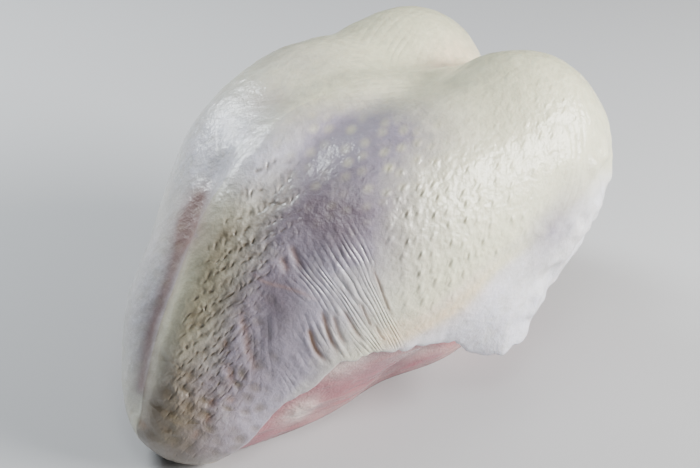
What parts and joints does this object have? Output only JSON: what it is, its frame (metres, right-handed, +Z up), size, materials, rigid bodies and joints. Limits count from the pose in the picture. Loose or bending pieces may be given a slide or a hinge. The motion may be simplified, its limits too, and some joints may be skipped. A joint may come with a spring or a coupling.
{
  "type": "raw turkey breast",
  "caption": "Raw bone-in turkey breast with its skin on, resting on its ribs, the flesh showing along the sides and loose skin at the neck end.",
  "frame": {"origin": "centre of the footprint box, on the surface that the breast rests on", "axes": "+X along the keel from the tail to the neck end, +Z up, +Y to the side hidden in the picture"},
  "size_m": [0.2778, 0.181, 0.1545],
  "materials": {
    "skin": "moist",
    "flesh": "wet"
  },
  "bodies": {
    "root": {"skin": "skin", "flesh": "flesh"}
  },
  "joints": []
}
